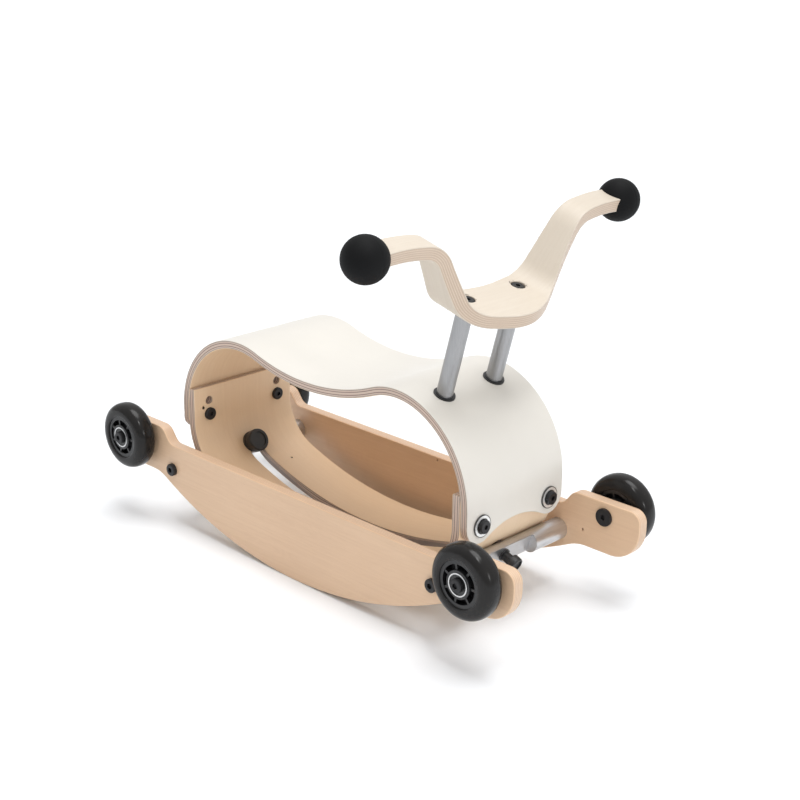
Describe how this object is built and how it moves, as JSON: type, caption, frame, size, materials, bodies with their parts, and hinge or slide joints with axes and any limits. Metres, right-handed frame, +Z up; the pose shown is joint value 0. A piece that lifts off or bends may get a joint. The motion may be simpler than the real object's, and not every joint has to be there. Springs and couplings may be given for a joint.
{
  "type": "rocking horse",
  "caption": "Bent-plywood toddler rocker that also rolls: two rocking rails with skate wheels, U cradle, laminated saddle seat and bent handlebar with ball grips.",
  "frame": {"origin": "on the floor under the middle of the wheelbase, between the two rails, where the rails' rocking edge rests", "axes": "+X forward towards the handlebar, +Y to the rider's left, +Z up"},
  "size_m": [0.577, 0.382, 0.3979],
  "materials": {
    "rail_wood": "clear-oiled beech-faced plywood, straight grain along the rail",
    "cradle_wood": "clear-lacquered plywood, striped edge",
    "seat_laminate": "ivory laminate over plywood, satin; bare wood inside and striped edges",
    "bar_wood": "clear-lacquered pale birch plywood, striped edge",
    "satin_tube": "satin",
    "washer_steel": "bright zinc plated",
    "black_steel": "black oxide",
    "black_plastic": "fine matt",
    "grip_rubber": "soft matt",
    "tyre": "smooth, glossy cast polyurethane",
    "core_plastic": "moulded, satin",
    "bearing_steel": "ground steel ring with dark shield"
  },
  "bodies": {
    "root": {"axle_bolts": "black_steel", "axle_nuts": "black_steel", "bearing_sleeves": "washer_steel", "cradle": "cradle_wood", "crossbar_bolts": "black_steel", "crossbar_plugs": "washer_steel", "front_clamp_plate": "washer_steel", "front_crossbar": "satin_tube", "front_seat_bolts": "black_steel", "front_seat_nuts": "washer_steel", "front_seat_washers": "washer_steel", "grip_studs": "washer_steel", "handlebar": "bar_wood", "handlebar_screws": "black_steel", "left_grip": "grip_rubber", "left_post": "satin_tube", "left_rail": "rail_wood", "post_collars": "black_plastic", "post_foot_bolts": "black_steel", "post_grommets": "black_plastic", "post_inserts": "washer_steel", "post_top_washers": "black_plastic", "rear_clamp_insert": "washer_steel", "rear_crossbar": "satin_tube", "rear_seat_bolts": "black_steel", "rear_seat_nuts": "washer_steel", "right_grip": "grip_rubber", "right_post": "satin_tube", "right_rail": "rail_wood", "seat_shell": "seat_laminate", "wheel_spacers": "washer_steel"},
    "front_washer": {"front_clamp_washer": "black_plastic"},
    "front_knob": {"front_clamp_knob": "black_plastic", "front_clamp_stud": "black_steel"},
    "rear_washer": {"rear_clamp_washer": "black_plastic"},
    "rear_knob": {"rear_clamp_knob": "black_plastic", "rear_clamp_stud": "black_steel"},
    "front_left_wheel": {"front_left_tyre": "tyre", "front_left_core": "core_plastic", "front_left_bearings": "bearing_steel"},
    "front_right_wheel": {"front_right_tyre": "tyre", "front_right_core": "core_plastic", "front_right_bearings": "bearing_steel"},
    "rear_left_wheel": {"rear_left_tyre": "tyre", "rear_left_core": "core_plastic", "rear_left_bearings": "bearing_steel"},
    "rear_right_wheel": {"rear_right_tyre": "tyre", "rear_right_core": "core_plastic", "rear_right_bearings": "bearing_steel"}
  },
  "joints": [
    {"name": "front_left_wheel_spin", "type": "hinge", "parent": "root", "child": "front_left_wheel", "pos_m": [0.24725, 0.112, 0.0916], "axis": [0, 1, 0], "continuous": true},
    {"name": "front_right_wheel_spin", "type": "hinge", "parent": "root", "child": "front_right_wheel", "pos_m": [0.24725, -0.112, 0.0916], "axis": [0, 1, 0], "continuous": true},
    {"name": "rear_left_wheel_spin", "type": "hinge", "parent": "root", "child": "rear_left_wheel", "pos_m": [-0.24725, 0.112, 0.0916], "axis": [0, 1, 0], "continuous": true},
    {"name": "rear_right_wheel_spin", "type": "hinge", "parent": "root", "child": "rear_right_wheel", "pos_m": [-0.24725, -0.112, 0.0916], "axis": [0, 1, 0], "continuous": true},
    {"name": "front_clamp_lift", "type": "slide", "parent": "root", "child": "front_washer", "axis": [0.9272, 0, -0.3746], "range_m": [0, 0.0056]},
    {"name": "front_knob_turn", "type": "hinge", "parent": "front_washer", "child": "front_knob", "pos_m": [0.19236, 0, 0.06266], "axis": [0.9272, 0, -0.3746], "range_deg": [0, 1620]},
    {"name": "rear_clamp_lift", "type": "slide", "parent": "root", "child": "rear_washer", "axis": [0.866, 0, 0.5], "range_m": [0, 0.0056]},
    {"name": "rear_knob_turn", "type": "hinge", "parent": "rear_washer", "child": "rear_knob", "pos_m": [-0.19236, 0, 0.06266], "axis": [0.866, 0, 0.5], "range_deg": [0, 1620]}
  ],
  "couplings": [
    {"joint": "front_knob_turn", "follows": "front_clamp_lift", "rad_per_m": 5026.5},
    {"joint": "rear_knob_turn", "follows": "rear_clamp_lift", "rad_per_m": 5026.5}
  ]
}
